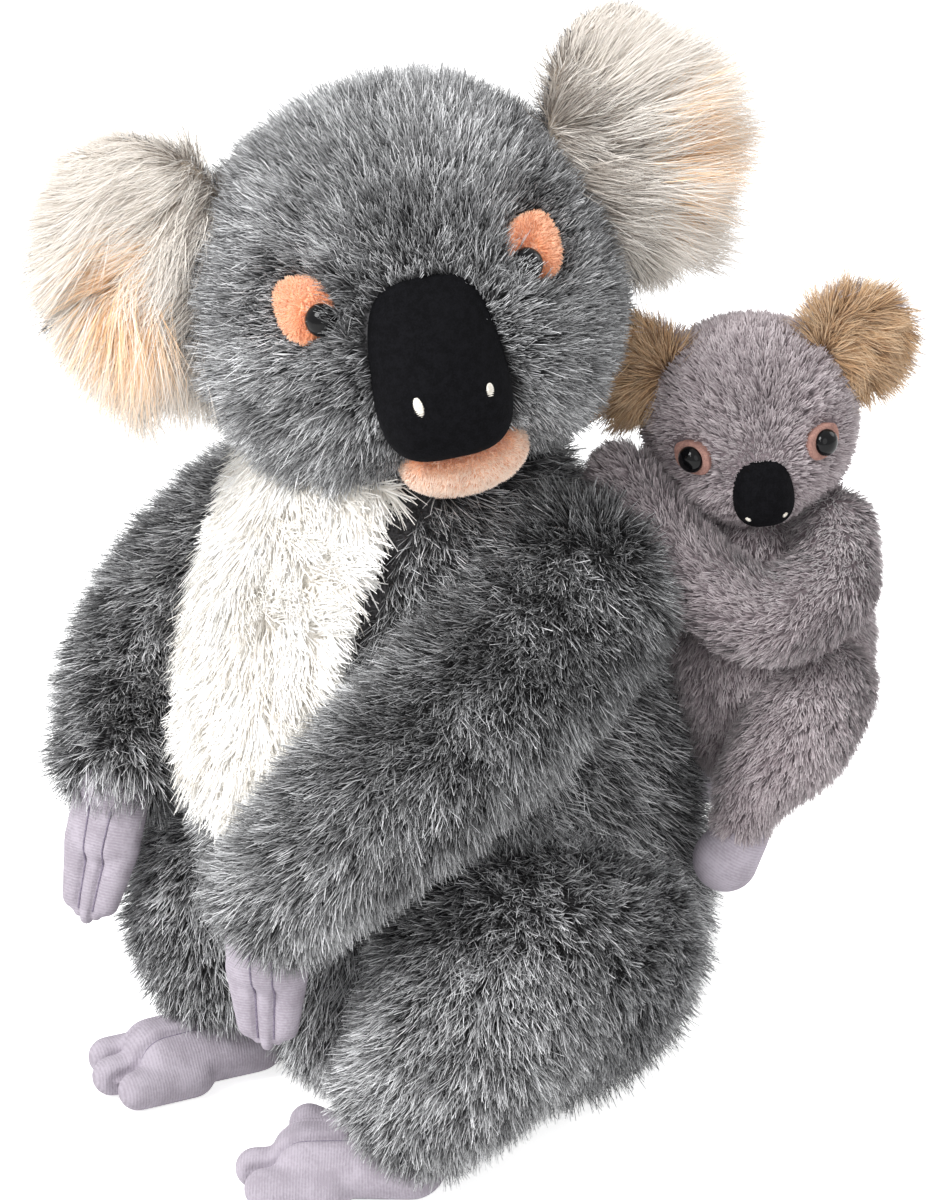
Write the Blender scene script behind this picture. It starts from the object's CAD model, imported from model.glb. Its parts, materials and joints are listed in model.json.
import json
import math
from itertools import product

import bpy
import numpy as np
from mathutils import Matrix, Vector
from mathutils.bvhtree import BVHTree


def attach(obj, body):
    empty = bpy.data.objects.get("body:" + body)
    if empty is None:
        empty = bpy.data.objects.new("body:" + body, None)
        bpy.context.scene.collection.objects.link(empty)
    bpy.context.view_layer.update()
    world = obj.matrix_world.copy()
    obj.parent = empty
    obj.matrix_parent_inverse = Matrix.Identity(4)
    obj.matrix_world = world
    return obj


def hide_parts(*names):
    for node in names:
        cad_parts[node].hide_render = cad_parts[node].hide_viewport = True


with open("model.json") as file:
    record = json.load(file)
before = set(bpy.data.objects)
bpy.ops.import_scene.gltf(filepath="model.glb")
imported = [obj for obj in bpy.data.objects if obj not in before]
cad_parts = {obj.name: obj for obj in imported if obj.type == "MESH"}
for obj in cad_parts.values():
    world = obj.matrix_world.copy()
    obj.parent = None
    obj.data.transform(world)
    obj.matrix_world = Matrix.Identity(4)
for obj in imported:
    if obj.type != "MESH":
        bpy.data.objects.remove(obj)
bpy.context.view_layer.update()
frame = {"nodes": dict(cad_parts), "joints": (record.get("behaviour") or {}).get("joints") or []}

# A seated plush koala with a joey on its back. Lengths are in millimetres until a mesh is made.
# Each fur piece is a pile of flat tapered strands that grow from a backing of its own shape.

mm = 0.001
scene = bpy.context.scene
scene.view_settings.view_transform = "Standard"
jointPlace = {joint["name"]: np.array(joint["pos_m"]) / mm for joint in frame["joints"]}
down = np.array([0.0, 0.0, -1.0])
sideAxis = np.array([1.0, 0.0, 0.0])
upAxis = np.array([0.0, 0.0, 1.0])
hands = (("left", 1), ("right", -1))


# Places, turns and smooth lines

def unit(vectors):
    # Each vector divided by its length
    return vectors / np.maximum(np.linalg.norm(vectors, axis=-1, keepdims=True), 1e-9)


def turnAbout(axis, degrees):
    # Rodrigues: a turn by an angle about an axis, as a 4 by 4 matrix
    x, y, z = unit(np.asarray(axis, float))
    c, s = math.cos(math.radians(degrees)), math.sin(math.radians(degrees))
    cross = np.array([[0, -z, y], [z, 0, -x], [-y, x, 0]])
    matrix = np.eye(4)
    matrix[:3, :3] = np.eye(3) + s * cross + (1 - c) * cross @ cross
    return matrix


def placed(place, turnZ=0, turnX=0, turnY=0):
    # A place with turns about z, then x, then y in its own frame
    matrix = np.eye(4)
    matrix[:3, 3] = place
    return matrix @ turnAbout((0, 0, 1), turnZ) @ turnAbout((1, 0, 0), turnX) @ turnAbout((0, 1, 0), turnY)


def moved(points, matrix):
    return points @ matrix[:3, :3].T + matrix[:3, 3]


def turned(vectors, matrix):
    return vectors @ matrix[:3, :3].T


def into(vector, matrix):
    # A direction of the world, as seen in a piece's own frame
    return matrix[:3, :3].T @ np.asarray(vector, float)


def facing(point, outward):
    # The shortest turn that takes -y to the outward direction, at a point
    front = np.array([0.0, -1.0, 0.0])
    axis = np.cross(front, outward)
    angle = math.degrees(math.atan2(np.linalg.norm(axis), front @ outward))
    matrix = turnAbout(axis, angle) if np.linalg.norm(axis) > 1e-9 else np.eye(4)
    matrix[:3, 3] = point
    return matrix


def through(values, share):
    # Catmull-Rom through evenly spaced values, share 0 at the first and 1 at the last
    values = np.asarray(values, float)
    last = len(values) - 1
    index = np.clip(np.floor(share * last).astype(int), 0, last - 1)
    s = share * last - index
    before, start, end, after = (values[np.clip(index + k, 0, last)] for k in (-1, 0, 1, 2))
    if values.ndim > 1:
        s = s[..., None]
    bend = 2 * before - 5 * start + 4 * end - after
    twist = 3 * (start - end) + after - before
    return start + 0.5 * s * (end - before + s * (bend + s * twist))


def smoothStep(x, low, high):
    # 0 below low, 1 above high, and 3t^2 - 2t^3 between
    t = np.clip((x - low) / (high - low), 0, 1)
    return t * t * (3 - 2 * t)


def hashed(cells, salt):
    # Three numbers from 0 to 1 for each cell of a grid, mixed from its whole-number place
    mixed = cells[..., 0] * 73856093 ^ cells[..., 1] * 19349663 ^ cells[..., 2] * 83492791
    numbers = []
    for k in range(3):
        value = (mixed + (salt + k) * 374761393) & 0xFFFFFFFF
        value = ((value ^ (value >> 13)) * 1274126177) & 0xFFFFFFFF
        value = ((value ^ (value >> 16)) * 2246822519) & 0xFFFFFFFF
        numbers.append(((value ^ (value >> 15)) & 0xFFFFFF) / float(0x1000000))
    return np.stack(numbers, axis=-1)


def nearestTuft(points, size, salt):
    # One tuft centre at random in each cube of a grid, and the nearest of the 27 round each point
    base = np.floor(points / size).astype(np.int64)
    nearest = np.full(len(points), np.inf)
    centre = np.zeros_like(points)
    draws = np.zeros_like(points)
    for step in product((-1, 0, 1), repeat=3):
        cell = base + np.array(step)
        place = (cell + hashed(cell, salt)) * size
        distance = ((points - place) ** 2).sum(axis=1)
        closer = distance < nearest
        nearest[closer] = distance[closer]
        centre[closer] = place[closer]
        draws[closer] = hashed(cell[closer], salt + 7)
    return centre, draws


def ripple(points, size, salt):
    # Smooth noise from -1 to 1: the corners' draws of a cubic grid, blended with 3t^2 - 2t^3
    scaled = points / size
    base = np.floor(scaled).astype(np.int64)
    t = scaled - base
    t = t * t * (3 - 2 * t)
    total = np.zeros(points.shape[:-1])
    for corner in product((0, 1), repeat=3):
        weight = np.prod(np.where(np.array(corner) == 1, t, 1 - t), axis=-1)
        total += weight * hashed(base + np.array(corner), salt)[..., 0]
    return 2 * total - 1


# Surfaces: points on a grid, closed round its columns, with a pole at each end

def closedRows(grid):
    # A grid's rows in one list, its first and last rows each drawn together to their middle
    return np.vstack([grid[0].mean(axis=0), grid[1:-1].reshape(-1, 3), grid[-1].mean(axis=0)])


def drawnIn(row):
    # A row of a grid with all of its points at the row's middle
    return row.mean(axis=1, keepdims=True) + 0 * row


def surfaceFrom(grid, carried=None):
    # Rings joined by quads and each end closed by a fan, turned so that its volume is positive
    rows, columns = grid.shape[:2]
    points = closedRows(grid)
    ring = 1 + np.arange((rows - 2) * columns).reshape(rows - 2, columns)
    after = np.roll(ring, -1, axis=1)
    quads = np.stack([ring[:-1], after[:-1], after[1:], ring[1:]], axis=-1).reshape(-1, 4)
    first = np.stack([np.zeros(columns, int), after[0], ring[0]], axis=-1)
    last = np.stack([np.full(columns, len(points) - 1), ring[-1], after[-1]], axis=-1)
    fans = np.vstack([first, last])
    triangles = np.vstack([quads[:, [0, 1, 2]], quads[:, [0, 2, 3]], fans])
    a, b, c = (points[triangles[:, k]] for k in range(3))
    if np.einsum("ij,ij->i", a, np.cross(b, c)).sum() < 0:
        quads, fans, triangles = quads[:, ::-1], fans[:, ::-1], triangles[:, ::-1]
    surface = {"points": points, "faces": [quads, fans], "triangles": triangles}
    if carried is not None:
        surface["carried"] = closedRows(carried)
    return withNormals(surface)


def withNormals(surface):
    # Each point's normal is the sum of its triangles' cross products
    points, triangles = surface["points"], surface["triangles"]
    a, b, c = (points[triangles[:, k]] for k in range(3))
    cross = np.cross(b - a, c - a)
    normals = np.zeros_like(points)
    for k in range(3):
        np.add.at(normals, triangles[:, k], cross)
    surface["normals"] = unit(normals)
    return surface


def limbSurface(spine, radii, grow=0.0, flat=1.0, wide=sideAxis, steps=48, sides=48):
    # Ovals across a Catmull-Rom spine, closed by rounded ends: centre + across w cos + thick h sin
    spine, radii = np.asarray(spine, float), np.asarray(radii, float)
    capSteps = sides // 5
    shares = np.concatenate([np.zeros(capSteps), np.linspace(0, 1, steps), np.ones(capSteps)])
    rise = np.linspace(0, math.pi / 2, capSteps + 1)[1:]
    angles = np.concatenate([-rise[::-1], np.zeros(steps), rise])
    near = 0.5 / steps
    along = unit(through(spine, np.clip(shares + near, 0, 1)) - through(spine, np.clip(shares - near, 0, 1)))
    thick = unit(np.cross(along, wide))
    across = np.cross(thick, along)
    width = through(radii, shares) + grow
    height = through(radii, shares) * flat + grow
    centre = through(spine, shares) + along * (height * np.sin(angles))[:, None]
    turn = np.linspace(0, 2 * math.pi, sides, endpoint=False)
    shrink = np.cos(angles)[:, None, None]
    grid = centre[:, None] + shrink * (
        across[:, None] * (width[:, None] * np.cos(turn))[..., None]
        + thick[:, None] * (height[:, None] * np.sin(turn))[..., None]
    )
    return surfaceFrom(grid, np.repeat(along[:, None], sides, axis=1))


def limbDepth(points, spine, radii):
    # How far points lie inside a round limb: its radius less the distance to the nearest spine place
    shares = np.linspace(0, 1, 40)
    places, widths = through(np.asarray(spine, float), shares), through(radii, shares)
    depth = np.full(len(points), -np.inf)
    for place, width in zip(places, widths):
        depth = np.maximum(depth, width - np.linalg.norm(points - place, axis=1))
    return depth


def headReach(shape, directions):
    # Distance from a head's middle to its face: an egg, with a bell-shaped swelling toward each place
    x, y, z = np.moveaxis(directions, -1, 0)
    reach = 1 / np.sqrt(
        (x / shape["halfWidth"]) ** 2 + (y / shape["halfDepth"]) ** 2 + (z / shape["halfHeight"]) ** 2)
    for toward, rise, spread in shape["swellings"]:
        angle = np.arccos(np.clip(directions @ unit(np.array(toward, float)), -1, 1))
        reach = reach + rise * np.exp(-((angle / math.radians(spread)) ** 2))
    return reach


def headSurface(shape, grow=0.0, rows=60, columns=80):
    # Directions round the -y pole: (sin p cos t, -cos p, sin p sin t), each as long as the reach
    polar = np.linspace(0, math.pi, rows)[:, None]
    turn = np.linspace(0, 2 * math.pi, columns, endpoint=False)[None]
    sine = np.sin(polar)
    directions = np.stack([sine * np.cos(turn), -np.cos(polar) + 0 * turn, sine * np.sin(turn)], axis=-1)
    return surfaceFrom(directions * (headReach(shape, directions) + grow)[..., None])


def facePoints(shape, x, z):
    # The face's y at places seen from the front, found by stepping along the ray to its reach
    y = np.full(np.shape(x), -float(shape["halfDepth"]))
    for _ in range(30):
        places = np.stack([x, y, z], axis=-1)
        length = np.linalg.norm(places, axis=-1)
        y = y + y / length * (headReach(shape, places / length[..., None]) - length)
    return np.stack([x, y, z], axis=-1)


def facePlace(shape, x, z):
    # A place on the face and the way it faces there, from two short steps aside and up
    near = shape["halfWidth"] / 100
    point, aside, above = facePoints(shape, np.array([x, x + near, x]), np.array([z, z, z + near]))
    return point, unit(np.cross(aside - point, above - point))


def padSurface(pad, rings=18, sides=64):
    # A crowned oval seen from -y: a superellipse outline, and a depth of sqrt(1 - share^2) each way
    turn = np.linspace(0, 2 * math.pi, sides, endpoint=False)
    power = 2 / pad.get("squareness", 2)
    x = np.sign(np.cos(turn)) * np.abs(np.cos(turn)) ** power
    z = np.sign(np.sin(turn)) * np.abs(np.sin(turn)) ** power
    taper = 1 - pad.get("narrowTop", 0) * (z + 1) / 2
    angle = np.linspace(0, math.pi, 2 * rings + 1)
    share, depth = np.sin(angle)[:, None], np.cos(angle)[:, None]
    depth = np.where(depth > 0, depth * pad["back"], depth * pad["front"])
    across, above = share * pad["halfWidth"] * taper * x, share * pad["halfHeight"] * z
    return surfaceFrom(np.stack([across, depth + 0 * x, above], axis=-1))


# Meshes

def newPiece(name, points, faces, materials, body, uvs=None):
    # Faces are arrays of three or four corners each; uvs hold one pair for each corner in turn
    mesh = bpy.data.meshes.new(name)
    corners = np.concatenate([part.ravel() for part in faces]).astype(np.int32)
    sizes = np.concatenate([np.full(len(part), part.shape[1]) for part in faces]).astype(np.int32)
    mesh.vertices.add(len(points))
    mesh.vertices.foreach_set("co", (np.asarray(points) * mm).astype(np.float32).ravel())
    mesh.loops.add(len(corners))
    mesh.loops.foreach_set("vertex_index", corners)
    mesh.polygons.add(len(sizes))
    mesh.polygons.foreach_set("loop_start", (np.cumsum(sizes) - sizes).astype(np.int32))
    mesh.polygons.foreach_set("use_smooth", np.full(len(sizes), True))
    if uvs is not None:
        mesh.uv_layers.new(name="OFBake").data.foreach_set("uv", uvs.astype(np.float32).ravel())
    mesh.update(calc_edges=True)
    for material in materials:
        mesh.materials.append(material)
    piece = bpy.data.objects.new(name, mesh)
    scene.collection.objects.link(piece)
    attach(piece, body)
    return piece


def newSkin(name, surface, material, body, matrix=np.eye(4), nodes=()):
    # A closed surface put in its place, standing for the CAD nodes named
    piece = newPiece(name, moved(surface["points"], matrix), surface["faces"], [material], body)
    if nodes:
        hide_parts(*nodes)
    return piece


def applyModifiers(piece):
    # The piece's mesh as its modifiers leave it, with the modifiers then taken off
    graph = bpy.context.evaluated_depsgraph_get()
    finished = bpy.data.meshes.new_from_object(piece.evaluated_get(graph))
    piece.modifiers.clear()
    piece.data = finished
    finished.polygons.foreach_set("use_smooth", np.full(len(finished.polygons), True))


# Pile

def scatter(surface, count, dice):
    # Places spread evenly over the triangles by area, with their normals and what the surface carries
    corners = surface["triangles"]
    a, b, c = (surface["points"][corners[:, k]] for k in range(3))
    area = np.cumsum(np.linalg.norm(np.cross(b - a, c - a), axis=1))
    pick = np.searchsorted(area, dice.random(count) * area[-1])
    first, second = dice.random((2, count, 1))
    over = first + second > 1
    first, second = np.where(over, 1 - first, first), np.where(over, 1 - second, second)
    shares = (1 - first - second, first, second)
    mixed = {}
    for key in ("points", "normals", "carried"):
        if key in surface:
            mixed[key] = sum(share * surface[key][corners[pick, k]] for k, share in enumerate(shares))
    mixed["normals"] = unit(mixed["normals"])
    return mixed


def growPile(name, surface, pile, body, material, seed, matrix=np.eye(4), flow=None,
             keep=None, length=None, tone=None, lighter=None):
    # A strand leaves its root along the normal and bends into the lay of the pile:
    # root + L (normal cos lean (1.3 t - 0.3 t^2) + lay sin lean t^1.6), drawn to its tuft with t^2
    dice = np.random.default_rng(seed)
    roots = scatter(surface, pile["strands"], dice)
    if keep is not None:
        kept = keep(roots["points"])
        roots = {key: value[kept] for key, value in roots.items()}
    root, normal = roots["points"], roots["normals"]
    count = len(root)
    lay = flow(root, normal, roots.get("carried"))
    centre, draws = nearestTuft(root, pile["tuft"], seed)
    swing = math.radians(pile["tuftSwing"]) * (2 * draws[:, 0] - 1)
    swing = swing + math.radians(pile["stray"]) * dice.normal(size=count)
    swing = swing + math.radians(pile["wave"]) * ripple(root, pile["waveSize"], seed + 20)
    lay = unit(lay - normal * (lay * normal).sum(axis=1, keepdims=True))
    aside = np.cross(normal, lay)
    lay = lay * np.cos(swing)[:, None] + aside * np.sin(swing)[:, None]
    aside = np.cross(normal, lay)
    lean = math.radians(pile["lean"]) + math.radians(pile["leanSpread"]) * (
        0.6 * (2 * draws[:, 1] - 1) + 0.5 * dice.normal(size=count)
        + 0.5 * ripple(root, pile["waveSize"] / 3, seed))
    reach = pile["length"] * (1 + pile["lengthSpread"] * (2 * dice.random(count) - 1))
    reach = reach * (1 + pile["tuftLength"] * (2 * draws[:, 0] - 1))
    if length is not None:
        reach = reach * length(root)
    toTuft = centre - root
    toTuft = toTuft - normal * (toTuft * normal).sum(axis=1, keepdims=True)
    limit = 0.45 * reach / np.maximum(np.linalg.norm(toTuft, axis=1), 1e-6)
    toTuft = toTuft * np.minimum(pile["pull"], limit)[:, None]
    segments = pile["segments"]
    t = (np.arange(segments + 1) / segments)[None, :, None]
    reach, lean = reach[:, None, None], np.clip(lean, 0.1, 1.5)[:, None, None]
    rise = normal[:, None] * np.cos(lean) * (1.3 * t - 0.3 * t * t)
    path = root[:, None] + reach * (rise + lay[:, None] * np.sin(lean) * t ** 1.6) + toTuft[:, None] * t * t
    curl = pile.get("curl", 0)
    if curl:
        begun = dice.random(count)[:, None, None] * 0.25 + draws[:, 2][:, None, None]
        phase = 2 * math.pi * (begun + pile["curls"] * t)
        path = path + curl * t * (aside[:, None] * np.cos(phase) + normal[:, None] * np.sin(phase))
    start, end = path[:, 0], path[:, -1]
    heading = unit(end - start)
    front = unit(normal - heading * (normal * heading).sum(axis=1, keepdims=True))
    roll = math.radians(pile["roll"]) * (2 * dice.random(count) - 1)
    side = np.cross(heading, front) * np.cos(roll)[:, None] + front * np.sin(roll)[:, None]
    half = 0.5 * pile["width"] * (0.75 + 0.5 * dice.random(count))
    edge = side[:, None] * half[:, None, None] * (1 - (1 - pile["tipWidth"]) * t ** 2)
    strand = np.stack([path - edge, path + edge], axis=2)
    offset = (np.arange(count) * 2 * (segments + 1))[:, None, None]
    quads = (offset + 2 * np.arange(segments)[:, None] + np.array([0, 1, 3, 2])).reshape(-1, 4)
    # u is the strand's tone and v runs from its root to its tip
    if tone is None:
        shade = 0.5 + 0.5 * (pile["tuftTone"] * (2 * draws[:, 2] - 1)
                             + pile["strandTone"] * (2 * dice.random(count) - 1)
                             + pile["patchTone"] * ripple(root, pile["waveSize"] / 2, seed + 40))
    else:
        shade = tone(root, draws, dice)
    if lighter is not None:
        shade = shade + lighter(root)
    shade = np.clip(shade, 0.02, 0.98)
    u = np.stack([shade - 0.002, shade + 0.002], axis=-1)
    v = np.clip(t[0, :, 0], 0.01, 0.99)
    quadU = np.repeat(u[:, None, [0, 1, 1, 0]], segments, axis=1)
    quadV = np.broadcast_to(np.stack([v[:-1], v[:-1], v[1:], v[1:]], axis=-1), quadU.shape)
    uvs = np.stack([quadU, quadV], axis=-1).reshape(-1, 2)
    points = moved(strand.reshape(-1, 3), matrix)
    points[:, 2] = np.maximum(points[:, 2], 0.3)  # the pile lies flat where it meets the surface below
    piece = newPiece(name, points, [quads], [material], body, uvs=uvs)
    print(f"{name}: {count} strands, {len(quads) * 2} triangles")
    return piece


# Materials

def linear(colour):
    # sRGB hex to linear red, green, blue and 1
    values = [int(colour[k:k + 2], 16) / 255 for k in (1, 3, 5)]
    return tuple(v / 12.92 if v <= 0.04045 else ((v + 0.055) / 1.055) ** 2.4 for v in values) + (1,)


def addNode(tree, kind, inputs=None, out=None, stops=None, **settings):
    # A node with its settings and links; stops are a ramp's positions and colours. Returns one output.
    node = tree.nodes.new(kind)
    for name, value in settings.items():
        setattr(node, name, value)
    for name, value in (inputs or {}).items():
        socket = next(s for s in node.inputs if s.name == name and s.enabled)
        if isinstance(value, bpy.types.NodeSocket):
            tree.links.new(value, socket)
        else:
            socket.default_value = value
    if stops:
        elements = node.color_ramp.elements
        while len(elements) < len(stops):
            elements.new(0.5)
        for element, (position, colour) in zip(elements, stops):
            element.position = position
            element.color = linear(colour)
    return next((s for s in node.outputs if s.enabled and (out is None or s.name == out)), None)


def startMaterial(name, **settings):
    # A new material with its shader's own sockets set; words in a socket's name are joined by _
    material = bpy.data.materials.new(name)
    material.use_nodes = True
    shader = material.node_tree.nodes["Principled BSDF"]
    for socket, value in settings.items():
        shader.inputs[socket.replace("_", " ")].default_value = value
    return material, material.node_tree, shader


def finishColour(tree, shader, colour):
    tree.links.new(colour, shader.inputs["Base Color"])


def pileMaterial(name, pile):
    # Fibres coloured by their own map: u picks a tone, v darkens the root and pales the tip
    material, tree, shader = startMaterial(
        name, Roughness=0.75, Sheen_Weight=pile.get("sheen", 0.1), Specular_IOR_Level=0.3)
    ownMap = addNode(tree, "ShaderNodeUVMap", uv_map="OFBake")
    parts = addNode(tree, "ShaderNodeSeparateXYZ", {"Vector": ownMap}).node
    tone = addNode(tree, "ShaderNodeValToRGB", {"Fac": parts.outputs["X"]}, out="Color", stops=pile["tones"])
    fromRoot = addNode(
        tree, "ShaderNodeMapRange", {"Value": parts.outputs["Y"], "From Max": pile["rootEnd"]},
        interpolation_type="SMOOTHSTEP")
    rooted = addNode(
        tree, "ShaderNodeMix", {"Factor": fromRoot, "A": linear(pile["root"]), "B": tone}, data_type="RGBA")
    toTip = addNode(
        tree, "ShaderNodeMapRange", {"Value": parts.outputs["Y"], "From Min": 0.6, "To Max": pile["tipShare"]},
        interpolation_type="SMOOTHSTEP")
    tipped = addNode(
        tree, "ShaderNodeMix", {"Factor": toTip, "A": rooted, "B": linear(pile["tip"])}, data_type="RGBA")
    finishColour(tree, shader, tipped)
    if "glow" in pile:  # light that a white pile scatters on through itself
        tree.links.new(tipped, shader.inputs["Emission Color"])
        shader.inputs["Emission Strength"].default_value = pile["glow"]
    return material


def noise(tree, place, size, detail):
    # Smooth noise with features about a size in millimetres across
    return addNode(
        tree, "ShaderNodeTexNoise", {"Vector": place, "Scale": 1 / (size * mm), "Detail": detail}, out="Fac")


def ribbed(tree, place, grain, cloth):
    # Ribs across an axis: (1 - share) grain + share (0.5 + 0.5 sin(2 pi along / pitch + wobble))
    along = addNode(
        tree, "ShaderNodeVectorMath", {"Vector": place}, operation="DOT_PRODUCT")
    along.node.inputs[1].default_value = tuple(cloth["ribAxis"])
    phase = addNode(tree, "ShaderNodeMath", {"Value": along}, operation="MULTIPLY")
    phase.node.inputs[1].default_value = 2 * math.pi / (cloth["ribPitch"] * mm)
    wobble = addNode(tree, "ShaderNodeMath", {"Value": noise(tree, place, 6, 1.0)}, operation="MULTIPLY")
    wobble.node.inputs[1].default_value = 5.0
    total = addNode(tree, "ShaderNodeMath", {"Value": phase}, operation="ADD")
    tree.links.new(wobble, total.node.inputs[1])
    wave = addNode(tree, "ShaderNodeMath", {"Value": total}, operation="SINE")
    rib = addNode(tree, "ShaderNodeMapRange", {"Value": wave, "From Min": -1.0, "To Min": 0.25, "To Max": 0.75})
    return addNode(
        tree, "ShaderNodeMix", {"Factor": cloth["ribShare"], "A": grain, "B": rib}, data_type="FLOAT")


def clothMaterial(name, cloth):
    # A knitted or woven ground: two mottled colours, with a bump as fine as its stitch
    material, tree, shader = startMaterial(
        name, Roughness=cloth.get("roughness", 0.9), Sheen_Weight=cloth.get("sheen", 0.2),
        Specular_IOR_Level=cloth.get("specular", 0.25))
    shader.inputs["Sheen Roughness"].default_value = 0.6
    shader.inputs["Sheen Tint"].default_value = linear(cloth["light"])
    place = addNode(tree, "ShaderNodeTexCoord", out="Object")
    mottle = noise(tree, place, cloth["mottle"], 4.0)
    grain = noise(tree, place, cloth["grain"], 2.0)
    if "ribAxis" in cloth:
        grain = ribbed(tree, place, grain, cloth)
    blended = addNode(tree, "ShaderNodeMath", {"Value": mottle}, operation="ADD")
    tree.links.new(grain, blended.node.inputs[1])
    ground = addNode(
        tree, "ShaderNodeMapRange", {"Value": blended, "From Min": 0.75, "From Max": 1.25},
        interpolation_type="SMOOTHSTEP")
    colour = addNode(
        tree, "ShaderNodeMix", {"Factor": ground, "A": linear(cloth["dark"]), "B": linear(cloth["light"])},
        data_type="RGBA")
    finishColour(tree, shader, colour)
    bump = addNode(
        tree, "ShaderNodeBump",
        {"Height": grain, "Distance": cloth["bump"] * mm, "Strength": cloth.get("bumpShare", 0.6)})
    tree.links.new(bump, shader.inputs["Normal"])
    return material


greyPlush = {
    "root": "#1d1d1e", "tip": "#f2f3f4", "tipShare": 0.3, "rootEnd": 0.75,
    "tones": [(0.0, "#1c1c1d"), (0.35, "#3f3f41"), (0.55, "#727274"), (0.72, "#b2b3b5"), (1.0, "#fbfbfd")],
}
greyPile = pileMaterial("silver tipped acrylic plush", greyPlush)
greyBacking = clothMaterial("charcoal knitted backing", {
    "dark": "#1c1b1c", "light": "#4a494b", "mottle": 6, "grain": 0.8, "bump": 0.5})
whitePile = pileMaterial("white curly long plush", {
    "root": "#f4efe7", "tip": "#ffffff", "tipShare": 0.3, "rootEnd": 0.5, "sheen": 0.3, "glow": 0.05,
    "tones": [(0.0, "#f1ebe2"), (0.4, "#f8f5ef"), (1.0, "#ffffff")],
})
whiteBacking = clothMaterial("white knitted backing", {
    "dark": "#f8f3ea", "light": "#fffdf9", "mottle": 5, "grain": 0.8, "bump": 0.4})
creamPile = pileMaterial("cream long plush with a peach middle", {
    "root": "#b3a79b", "tip": "#fbf7f2", "tipShare": 0.4, "rootEnd": 0.35, "sheen": 0.25,
    "tones": [(0.0, "#6c635c"), (0.18, "#a79d93"), (0.35, "#dad2c8"), (0.6, "#efe8e0"), (0.78, "#f8f3ec"),
              (0.86, "#f4d3ad"), (1.0, "#efba82")],
})
creamBacking = clothMaterial("cream knitted backing", {
    "dark": "#8d8072", "light": "#c9bba9", "mottle": 9, "grain": 0.8, "bump": 0.4})
ribbedVelour = {
    "dark": "#9f97a1", "light": "#b7afba", "mottle": 9, "grain": 0.9, "bump": 0.5, "sheen": 0.35,
    "bumpShare": 0.7, "ribPitch": 1.0, "ribShare": 0.42,
}
velourThread = clothMaterial("grey violet sewing thread", {
    "dark": "#6d6576", "light": "#8d8595", "mottle": 1.2, "grain": 0.4, "bump": 0.2, "roughness": 0.6})
blackVelour = clothMaterial("black velour", {
    "dark": "#08080a", "light": "#111114", "mottle": 2.5, "grain": 0.6, "bump": 0.3, "sheen": 0.02,
    "specular": 0.08})
peachPlush = clothMaterial("peach short plush", {
    "dark": "#e59b70", "light": "#f8c3a0", "mottle": 4, "grain": 0.7, "bump": 0.5, "sheen": 0.4})
lipPlush = clothMaterial("pale peach short plush", {
    "dark": "#e2a784", "light": "#f3cdb4", "mottle": 4, "grain": 0.7, "bump": 0.5, "sheen": 0.4})
pinkFelt = clothMaterial("dusty pink felt", {
    "dark": "#8e6b63", "light": "#ab8378", "mottle": 2, "grain": 0.5, "bump": 0.2})
whiteThread = clothMaterial("white embroidery thread", {
    "dark": "#dcd5c8", "light": "#f6f1e8", "mottle": 1.2, "grain": 0.4, "bump": 0.2, "roughness": 0.55})
minkyPlush = {
    "root": "#6f6468", "tip": "#e6dde0", "tipShare": 0.35, "rootEnd": 0.6, "sheen": 0.7,
    "tones": [(0.0, "#74686c"), (0.35, "#9b8e92"), (0.7, "#c0b5b8"), (1.0, "#e4dbde")],
}
minkyPile = pileMaterial("mauve grey minky", minkyPlush)
minkyBacking = clothMaterial("mauve knitted backing", {
    "dark": "#6f6468", "light": "#8d8185", "mottle": 5, "grain": 0.7, "bump": 0.4})
tanPile = pileMaterial("tan plush", {
    "root": "#8a6a4e", "tip": "#f5e3c8", "tipShare": 0.35, "rootEnd": 0.6, "sheen": 0.15,
    "tones": [(0.0, "#7d6049"), (0.3, "#a98563"), (0.6, "#cfa97f"), (1.0, "#e8ccaa")],
})
tanBacking = clothMaterial("tan knitted backing", {
    "dark": "#5f4630", "light": "#9a7650", "mottle": 5, "grain": 0.7, "bump": 0.4})
fibreWad = clothMaterial("loose polyester fibre", {
    "dark": "#d9d9d6", "light": "#f8f8f6", "mottle": 3, "grain": 0.8, "bump": 1.2, "roughness": 1.0})


def glossPlastic(name, colour, roughness):
    # A moulded eye or washer: its gloss broken by a faint haze of handling
    material, tree, shader = startMaterial(name, Roughness=roughness, IOR=1.49, Specular_IOR_Level=0.2)
    place = addNode(tree, "ShaderNodeTexCoord", out="Object")
    haze = noise(tree, place, 3, 2.0)
    rough = addNode(
        tree, "ShaderNodeMapRange", {"Value": haze, "To Min": roughness * 0.8, "To Max": roughness * 1.3})
    tree.links.new(rough, shader.inputs["Roughness"])
    shade = addNode(tree, "ShaderNodeValToRGB", {"Fac": haze}, out="Color", stops=colour)
    finishColour(tree, shader, shade)
    return material


glossBlack = glossPlastic("black glossy acrylic", [(0.0, "#060607"), (1.0, "#0d0d0f")], 0.07)
whitePlastic = glossPlastic("white moulded polypropylene", [(0.0, "#dededa"), (1.0, "#eeeeea")], 0.45)
print("materials made")


# Camera, floor and lamps

view = {
    "azimuth": 50, "elevation": 22, "distance": 1500, "target": (0, 0, 150),
    "pixelsPerMm": 3.0, "targetPixel": (455, 649), "picture": (950, 1200), "sensor": 36,
}


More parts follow.
